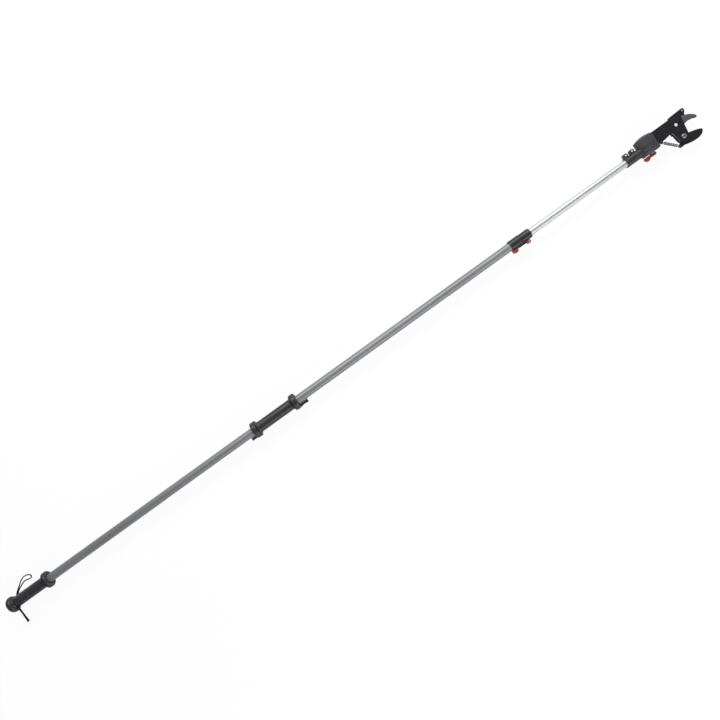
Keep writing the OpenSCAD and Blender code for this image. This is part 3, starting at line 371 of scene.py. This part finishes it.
alongPole = (0.02, 1, 1)
finishes = {
    # extruded and anodised: satin, with faint streaks along the tube
    "grey_tube": drawnMetal("greyAnodisedAluminium", ("#77787c", "#87888c"), roughness=0.5, metallic=0.55,
                            lineWidth=0.6, bump=0.03, stretch=alongPole),
    "silver_tube": drawnMetal("brightAnodisedAluminium", ("#bcbec1", "#c8cacc"), roughness=0.52,
                              metallic=0.85, lineWidth=0.6, bump=0.01, stretch=alongPole),
    # moulded: dark, with a soft broad highlight
    "black_plastic": mouldedPlastic("slatePolypropylene", ("#1b1b1e", "#212125", "#29292d"),
                                    roughness=0.42, grain=0.8, bump=0.2),
    # moulded in its colour: dull red with a soft shine
    "red_plastic": mouldedPlastic("redAbs", ("#903225", "#9c392c", "#a74638"),
                                  roughness=0.4, grain=1.0, bump=0.15),
    # plated: pale and bright
    "steel": drawnMetal("zincPlatedSteel", ("#c2c4c7", "#e0e1e4"), roughness=0.3, metallic=0.95,
                        lineWidth=1.2, bump=0.05),
    # ground: mid grey, with lines across the pole
    "hook_steel": drawnMetal("groundHookSteel", ("#66676a", "#7b7c7f"), roughness=0.42, metallic=0.85,
                             lineWidth=0.7, bump=0.2, stretch=(1, 0.08, 1)),
    # coated: near black, with little shine
    "blade_steel": drawnMetal("blackCoatedBladeSteel", ("#0c0c0d", "#151517"), roughness=0.4, metallic=0.2,
                              lineWidth=0.9, bump=0.1, stretch=(1, 0.1, 1)),
    # the darker strap colour is painted shade between the threads
    "strap_web": wovenStrap("blackPolyesterStrap", ("#0d0d0e", "#232325")),
    # the darker cord colour is painted shade between the strands
    "cord": braidedCord("blackBraidedCord", ("#08080a", "#18181a")),
    # moulded rubber: black and matt
    "pad_rubber": mouldedPlastic("blackRubber", ("#111112", "#171718", "#1e1e1f"),
                                 roughness=0.7, grain=1.2, bump=0.3),
    # moulded acetal: smooth and waxy
    "pale_plastic": mouldedPlastic("naturalAcetal", ("#c4c0b4", "#cbc7bb", "#d4d0c4"),
                                   roughness=0.35, grain=1.0, bump=0.1),
    "guide_plastic": mouldedPlastic("greyAcetal", ("#515156", "#58585d", "#616166"),
                                    roughness=0.4, grain=1.0, bump=0.12),
}
# glass-filled nylon: arm darker and drier than the grips, collar dark too, socket in a lighter slate; the
# drum in both gets painted light, a lighter colour for its round sides
# painted light: inside this radius round the swivel the colour is lighter
drumLightPatch = {"x": 2253.5, "radius": 29.2, "colour": "#3c3c42"}
headNylon = mouldedPlastic("blackGlassNylon", ("#101012", "#151518", "#1b1b1e"),
                           roughness=0.5, grain=0.7, bump=0.2, ior=1.36, paintedLight=drumLightPatch)
# the hub, inside the drum, gets a little less painted light than the drum cheeks of the arm
socketNylon = mouldedPlastic("slateSocketNylon", ("#1e1e21", "#242428", "#2c2c30"),
                             roughness=0.42, grain=0.8, bump=0.2, paintedLight={**drumLightPatch, "colour": "#323238"})
collarNylon = mouldedPlastic("blackCollarNylon", ("#131316", "#18181b", "#1f1f22"),
                             roughness=0.42, grain=0.8, bump=0.2)
# bolts and spring: fresh zinc is nearly white, and bare steel is greyer
whiteZinc = drawnMetal("brightZincBolt", ("#e6e7e9", "#f6f6f7"), roughness=0.4, metallic=0.5,
                       lineWidth=1.2, bump=0.02)
plainSteel = drawnMetal("plainSteelBolt", ("#8e9093", "#a6a7aa"), roughness=0.36, metallic=0.9,
                        lineWidth=1.2, bump=0.04)
springSteel = drawnMetal("drawnSpringSteel", ("#56585c", "#707276"), roughness=0.36, metallic=0.9,
                         lineWidth=0.6, bump=0.03)
ownFinish = {
    "head_arm": headNylon, "head_cover": headNylon, "head_socket": socketNylon, "collar": collarNylon,
    "hook_bolt": whiteZinc, "socket_screws": whiteZinc,
    "pivot_bolt": plainSteel, "pivot_washer": plainSteel, "return_spring": springSteel,
}


def finishOf(node):
    return ownFinish.get(node, finishes[slotOf[node]])


for nodeName, cadNode in nodes.items():
    cadNode.data.materials.clear()
    cadNode.data.materials.append(finishOf(nodeName))
print("materials done:", len(finishes))


# Wrist cord, on the same route as its solids

cordSizes = {
    "diameter": 3.4, "sides": 20, "step": 0.45, "split": 2.0,
    "strands": 8, "pitch": 10.0, "relief": 0.09, "crossing": 0.75,
    "loop": [(23.5, 0, 0), (23.5, 9, -7.5), (23.3, 14, -11.6), (24.5, 18.5, -15), (27, 23, -18.5),
             (32.2, 28.5, -21.5), (40, 34.2, -22.5), (46.5, 39.5, -22.6), (53.5, 44, -22.6),
             (61.5, 47, -22.6), (69, 47.6, -22.6), (75.5, 46.2, -22.6), (81.5, 43, -22.6),
             (84.4, 38.5, -22.6), (82.5, 34, -22.6), (77, 32.8, -22.6), (71, 34.3, -22.6), (65, 36, -22.6),
             (59, 36, -22.6), (52.5, 34.2, -22.6), (45.5, 31.3, -22.5), (36.9, 27.1, -21.6),
             (31.9, 22.8, -19), (29.4, 18.2, -15.3), (27.7, 14, -11.6), (27.5, 9, -7.5), (27.5, 0, 0)],
    "tail": [(25.5, 0, 0), (25.5, -9, 7.5), (25.5, -14, 11.6), (25.6, -18.5, 13.2), (24.4, -23.5, 11.4),
             (19.9, -29, 4.5), (14.3, -35, -3.5), (9.5, -41, -10.5), (6.1, -48, -15.5), (4.6, -55.5, -17.8),
             (4.3, -62, -18.4)],
    "turn": [0, 0, 15, 50, 90, 90, 90, 90, 90, 90, 90],
    "knot": (4.2, -64, -18.6), "knotScale": 0.92, "knotPoints": 60, "knotDiameter": 2.9,
}
routeSizes = {"perSpan": 24, "shortestEnd": 0.3}  # points for each span, and the least last step as a share


def smoothRoute(points, step, closed=False):
    # a Catmull-Rom line through the points, walked at even steps, in metres
    points = [Vector(p) * mm for p in points]
    count, perSpan = len(points), routeSizes["perSpan"]
    fine = []
    for i in range(count if closed else count - 1):
        if closed:
            a, b, c, d = (points[(i + k) % count] for k in (-1, 0, 1, 2))
        else:
            b, c = points[i], points[i + 1]
            a = points[i - 1] if i else 2 * b - c
            d = points[i + 2] if i + 2 < count else 2 * c - b
        for k in range(perSpan):
            t = k / perSpan
            fine.append(0.5 * (2 * b + (c - a) * t + (2 * a - 5 * b + 4 * c - d) * t * t
                               + (3 * b - 3 * c + d - a) * t ** 3))
    fine.append(points[0] if closed else points[-1])
    route, left = [fine[0]], step
    for p, q in zip(fine, fine[1:]):
        gap = (q - p).length
        while gap > 0 and left <= gap:
            p = p + (q - p) * (left / gap)
            gap -= left
            route.append(p)
            left = step
        left -= gap
    if (route[-1] - fine[-1]).length > step * routeSizes["shortestEnd"]:
        route.append(fine[-1])
    return route


def headingAt(points, i):
    return (points[min(i + 1, len(points) - 1)] - points[max(i - 1, 0)]).normalized()


def braidTube(name, route, sizes):
    # a tube whose radius rises over the strands of a braid
    radius, relief, sides = sizes["diameter"] / 2 * mm, sizes["relief"], sizes["sides"]
    strands = sizes["strands"] / 2  # half of them run each way round
    rings, heights = [], []
    side = Vector((1, 0, 0))
    run = 0.0
    for i, p in enumerate(route):
        ahead = headingAt(route, i)
        side = (side - ahead * side.dot(ahead)).normalized()
        other = ahead.cross(side)
        run += (p - route[i - 1]).length if i else 0
        turn = run / (sizes["pitch"] * mm) * 2 * math.pi
        ring = []
        for k in range(sides):
            a = 2 * math.pi * k / sides
            left, right = math.cos(strands * (a + turn)), math.cos(strands * (a - turn))
            height = 0.5 + 0.5 * max(left, right) * (1 if left * right < 0 else sizes["crossing"])
            grown = radius * (1 - relief + relief * height)
            ring.append(p + grown * (side * math.cos(a) + other * math.sin(a)))
            heights.append(height)
        rings.append(ring)
    mesh = ringMesh(name, rings)
    attribute = mesh.attributes.new("braidHeight", "FLOAT", "POINT")
    attribute.data.foreach_set("value", heights)
    mesh.shade_smooth()
    return mesh


def tailStrand(sizes, sign):
    # side by side in the hole, then one end above the other
    points = [Vector(p) for p in sizes["tail"]]
    strand = []
    for i, p in enumerate(points):
        ahead = headingAt(points, i)
        side = Vector((1, 0, 0)) - ahead * ahead[0]
        side.normalize()
        a = math.radians(sizes["turn"][i])
        strand.append(p + sign * sizes["split"] * (side * math.cos(a) + ahead.cross(side) * math.sin(a)))
    return strand


def makeCord():
    s = cordSizes
    step = s["step"] * mm
    finish = finishes["cord"]
    loopRoute = smoothRoute(s["loop"], step)
    loop = addObject("wristLoop", braidTube("wristLoop", loopRoute, s), "pole", finish, "cord", "cord_loop")
    knotPath = []  # a trefoil
    for i in range(s["knotPoints"]):
        t = 2 * math.pi * i / s["knotPoints"]
        turn = (math.sin(t) + 2 * math.sin(2 * t), -math.sin(3 * t), math.cos(t) - 2 * math.cos(2 * t))
        knotPath.append([s["knot"][k] + s["knotScale"] * turn[k] for k in range(3)])
    knotRoute = smoothRoute(knotPath, step, closed=True)
    knot = addObject("cordKnot", braidTube("cordKnot", knotRoute, {**s, "diameter": s["knotDiameter"]}),
                     "pole", finish, "cord", "cord_knot")
    for name, sign in (("wristTailLow", -1), ("wristTailHigh", 1)):
        route = smoothRoute(tailStrand(s, sign), step)
        tail = addObject(name, braidTube(name, route, s), "pole", finish, "cord", "cord_tail")


makeCord()
print("wrist cord done")


# Pull strap: two woven strips with rounded, heat-sealed edges

strapSizes = {"sides": 20, "step": 1.6, "square": 0.4}  # a lower power makes a squarer section


def makeStrap(node, name):
    low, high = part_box(node)
    s = strapSizes
    steps = round((high[0] - low[0]) / (s["step"] * mm))
    rings = []
    for i in range(steps + 1):
        x = low[0] + (high[0] - low[0]) * i / steps
        ring = []
        for k in range(s["sides"]):
            a = 2 * math.pi * (k + 0.5) / s["sides"]
            across, up = (math.copysign(abs(v) ** s["square"], v) / 2 for v in (math.cos(a), math.sin(a)))
            ring.append((x, (low[1] + high[1]) / 2 + (high[1] - low[1]) * across,
                         (low[2] + high[2]) / 2 + (high[2] - low[2]) * up))
        rings.append(ring)
    mesh = ringMesh(name, rings)
    smoothByAngle(mesh, "strap")
    addObject(name, mesh, bodyOf[node], finishOf(node), slotOf[node], node)


makeStrap("pole_strap", "poleStrap")
makeStrap("head_strap", "headStrap")
print("pull strap done")


# Node trees: wire along a path, and a shape repeated on points

def startTree(name, extra):
    tree = bpy.data.node_groups.new(name, "GeometryNodeTree")
    tree.interface.new_socket("Geometry", in_out="INPUT", socket_type="NodeSocketGeometry")
    for label, kind in extra:
        tree.interface.new_socket(label, in_out="INPUT", socket_type="NodeSocket" + kind)
    tree.interface.new_socket("Geometry", in_out="OUTPUT", socket_type="NodeSocketGeometry")
    return tree, addNode(tree, "NodeGroupInput")


def closeTree(tree, given, geometry):
    whole = addNode(tree, "GeometryNodeRealizeInstances", links={"Geometry": geometry})
    painted = addNode(tree, "GeometryNodeSetMaterial",
                      links={"Geometry": whole.outputs[0], "Material": given.outputs["Finish"]})
    addNode(tree, "NodeGroupOutput", links={"Geometry": painted.outputs[0]})
    return tree


def wireTree():
    tree, given = startTree("wireAlongPath",
                            [("Wire radius", "Float"), ("Sides", "Int"), ("Finish", "Material")])
    path = addNode(tree, "GeometryNodeMeshToCurve", links={"Mesh": given.outputs["Geometry"]})
    ring = addNode(tree, "GeometryNodeCurvePrimitiveCircle",
                   links={"Radius": given.outputs["Wire radius"], "Resolution": given.outputs["Sides"]})
    wire = addNode(tree, "GeometryNodeCurveToMesh", {"Fill Caps": True},
                   {"Curve": path.outputs[0], "Profile Curve": ring.outputs["Curve"]})
    smooth = addNode(tree, "GeometryNodeSetShadeSmooth", links={"Geometry": wire.outputs[0]})
    return closeTree(tree, given, smooth.outputs[0])


def repeatTree():
    tree, given = startTree("repeatOnPoints", [("Shape", "Object"), ("Finish", "Material")])
    shape = addNode(tree, "GeometryNodeObjectInfo", {"transform_space": "ORIGINAL"},
                    {"Object": given.outputs["Shape"]})
    placed = addNode(tree, "GeometryNodeInstanceOnPoints",
                     links={"Points": given.outputs["Geometry"], "Instance": shape.outputs["Geometry"]})
    return closeTree(tree, given, placed.outputs[0])


def applyTree(piece, tree, values):
    # inputs are set by identifier, then the result is made a plain mesh
    modifier = piece.modifiers.new("nodes", "NODES")
    modifier.node_group = tree
    for item in tree.interface.items_tree:
        if item.in_out == "INPUT" and item.name in values:
            modifier[item.identifier] = values[item.name]
    bakeModifiers(piece)


# Return spring: wire along a coil, with a bent leg into the lug at each end

springSizes = {
    "lug": (41, -11.5), "tail": (78, -50.6), "plane": -1.75, "swivel": 2253.5,
    "outside": 8.0, "wire": 1.3, "curls": 21, "steps": 24, "sides": 12,
    "hook": 7.0, "lead": 1.2, "bend": 1.6, "bendSteps": 6, "legEnd": -3.6, "legMiddle": -1,
    "blendFrom": 0.5, "blendTo": 0.5,  # shares of the span, and of the hook before the tail
}


def makeSpring():
    s = springSizes
    lug, tail = Vector(s["lug"]), Vector(s["tail"])
    span = (tail - lug).length
    along = Vector((*(tail - lug), 0)).normalized()
    across = Vector((-along[1], along[0], 0))
    coilR = (s["outside"] - s["wire"]) / 2
    start = [(0, 0, s["legEnd"]), (0, 0, s["legMiddle"]), (0, 0, coilR - s["bend"])]
    start += [(s["bend"] * (1 - math.cos(a)), 0, coilR - s["bend"] * (1 - math.sin(a)))
              for a in (math.radians(90 * k / s["bendSteps"]) for k in range(1, s["bendSteps"]))]
    start += [(s["bend"], 0, coilR), (s["hook"] - s["lead"], 0, coilR)]
    turns = s["curls"] * s["steps"]
    coil = [(s["hook"] + (span - 2 * s["hook"]) * i / turns, coilR * math.sin(2 * math.pi * i / s["steps"]),
             coilR * math.cos(2 * math.pi * i / s["steps"])) for i in range(turns + 1)]
    points = start + coil + [(span - u, v, w) for u, v, w in reversed(start)]
    base = Vector((s["swivel"] + lug[0], lug[1], s["plane"]))
    verts = [(base + along * u + across * v + Vector((0, 0, w))) * mm for u, v, w in points]
    mesh = bpy.data.meshes.new("returnSpring")
    mesh.from_pydata(verts, [(i, i + 1) for i in range(len(verts) - 1)], [])
    spring = bpy.data.objects.new("returnSpring", mesh)
    scene.collection.objects.link(spring)
    applyTree(spring, wireTree(), {"Wire radius": s["wire"] / 2 * mm, "Sides": s["sides"],
                                   "Finish": finishOf("return_spring")})
    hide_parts("return_spring")
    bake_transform(spring)


makeSpring()
print("return spring done")


# Bolts and screws with turned heads

turning = {"sides": 48, "tipChamfer": 0.3, "seatChamfer": 0.2, "crownSteps": 6}
bolts = {
    "hookBolt": {
        "node": "hook_bolt", "at": [(2351, 5.7, 0)], "headR": 4.5, "shankR": 3, "bottom": -10.05,
        "seat": 7.75, "top": 10.95, "crown": 2.2, "flat": 2, "socket": 0},
    "pivotBolt": {
        "node": "pivot_bolt", "at": [(2351, -33.6, 0)], "headR": 6.5, "shankR": 4, "bottom": -10.05,
        "seat": 9.95, "top": 13.15, "crown": 1.1, "flat": 4.9, "socket": 5, "depth": 2.4},
    "socketScrews": {
        "node": "socket_screws", "at": [(2184.5, 18.6, 0), (2206.5, 18.6, 0)], "headR": 2.75, "shankR": 1.5,
        "bottom": -7.5, "seat": 5.1, "top": 8.1, "crown": 0.7, "flat": 1.7, "socket": 2.5, "depth": 1.6},
}


def boltOutline(s):
    # radius, height and whether a hexagon: shank, seat, side of the head, crown, then a socket or a plain top
    headR, shankR, flat = s["headR"], s["shankR"], s["flat"]
    tip, rim, steps = turning["tipChamfer"], turning["seatChamfer"], turning["crownSteps"]
    shoulder = s["top"] - s["crown"]
    outline = [(shankR - tip, s["bottom"], False), (shankR, s["bottom"] + tip, False),
               (shankR, s["seat"], False), (headR - rim, s["seat"], False),
               (headR, s["seat"] + rim, False), (headR, shoulder, False)]
    for k in range(1, steps + 1):
        a = math.radians(90 * k / steps)
        outline.append((flat + (headR - flat) * math.cos(a), shoulder + s["crown"] * math.sin(a), False))
    if s["socket"]:
        outline += [(s["socket"] / 2, s["top"], True), (s["socket"] / 2, s["top"] - s["depth"], True)]
    return outline


def turnedMesh(name, outline):
    sixth = math.pi / 3
    rings = []
    for radius, height, hexagon in outline:
        ring = []
        for k in range(turning["sides"]):
            a = 2 * math.pi * k / turning["sides"]
            off = (a + sixth / 2) % sixth - sixth / 2
            r = radius / math.cos(off) if hexagon else radius
            ring.append((r * math.cos(a) * mm, r * math.sin(a) * mm, height * mm))
        rings.append(ring)
    mesh = ringMesh(name, rings)
    smoothByAngle(mesh, "bolt")
    return mesh


def repeatPiece(name, node, mesh, places):
    shape = bpy.data.objects.new(name + "Shape", mesh)
    scene.collection.objects.link(shape)
    points = bpy.data.meshes.new(name)
    points.from_pydata([Vector(p) * mm for p in places], [], [])
    piece = bpy.data.objects.new(name, points)
    scene.collection.objects.link(piece)
    applyTree(piece, repeatTree(), {"Shape": shape, "Finish": finishOf(node)})
    bpy.data.objects.remove(shape)
    bpy.data.meshes.remove(mesh)
    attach(piece, bodyOf[node])
    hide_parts(node)


for name, sizes in bolts.items():
    repeatPiece(name, sizes["node"], turnedMesh(name + "Mesh", boltOutline(sizes)), sizes["at"])
print("bolts done:", len(bolts))


# Pieces with worked edges, from merged copies of their solids

edgeWork = {"merge": 0.002, "flat": 0.6, "sharp": 34, "segments": 2}  # merge in mm, flat and sharp in degrees
edges = {
    "collar": ("clampCollar", 0.5), "clamp_lever": ("flipLever", 0.9), "wing_nut": ("lockingWing", 0.9),
    "head_cover": ("coverPlate", 0.7), "hook": ("fixedHook", 0.6), "strap_carriage": ("pullCarriage", 0.6),
    "blade": ("cuttingBlade", 0.4), "pivot_washer": ("pivotWasher", 0.2),
    "swivel_washer": ("swivelWasher", 0.2), "pivot_nut": ("pivotNut", 0.4), "hook_nut": ("hookNut", 0.4),
    "socket_nuts": ("socketNuts", 0.25), "cover_screws": ("coverScrews", 0.25),
    "carriage_rivets": ("carriageRivets", 0.25), "link_rivets": ("linkRivets", 0.25),
    "lever_pin": ("leverPin", 0.3), "strap_link": ("strapLink", 0.3),
}


def edgedCopy(node, name, width):
    mesh = nodes[node].data.copy()
    mesh.name = name
    work = bmesh.new()
    work.from_mesh(mesh)
    bmesh.ops.remove_doubles(work, verts=work.verts, dist=edgeWork["merge"] * mm)
    bmesh.ops.dissolve_limit(work, angle_limit=math.radians(edgeWork["flat"]), verts=work.verts,
                             edges=work.edges)
    work.to_mesh(mesh)
    work.free()
    piece = addObject(name, mesh, None, finishOf(node), slotOf[node])
    bevel = piece.modifiers.new("workedEdge", "BEVEL")
    bevel.width = width * mm
    bevel.segments = edgeWork["segments"]
    bevel.limit_method = "ANGLE"
    bevel.angle_limit = math.radians(edgeWork["sharp"])
    bakeModifiers(piece)
    smoothByAngle(piece.data, "workedEdge")
    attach(piece, bodyOf[node])
    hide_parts(node)


for node, (name, width) in edges.items():
    edgedCopy(node, name, width)
print("worked edges done:", len(edges))

for cadNode in nodes.values():
    smoothByAngle(cadNode.data, "solid")
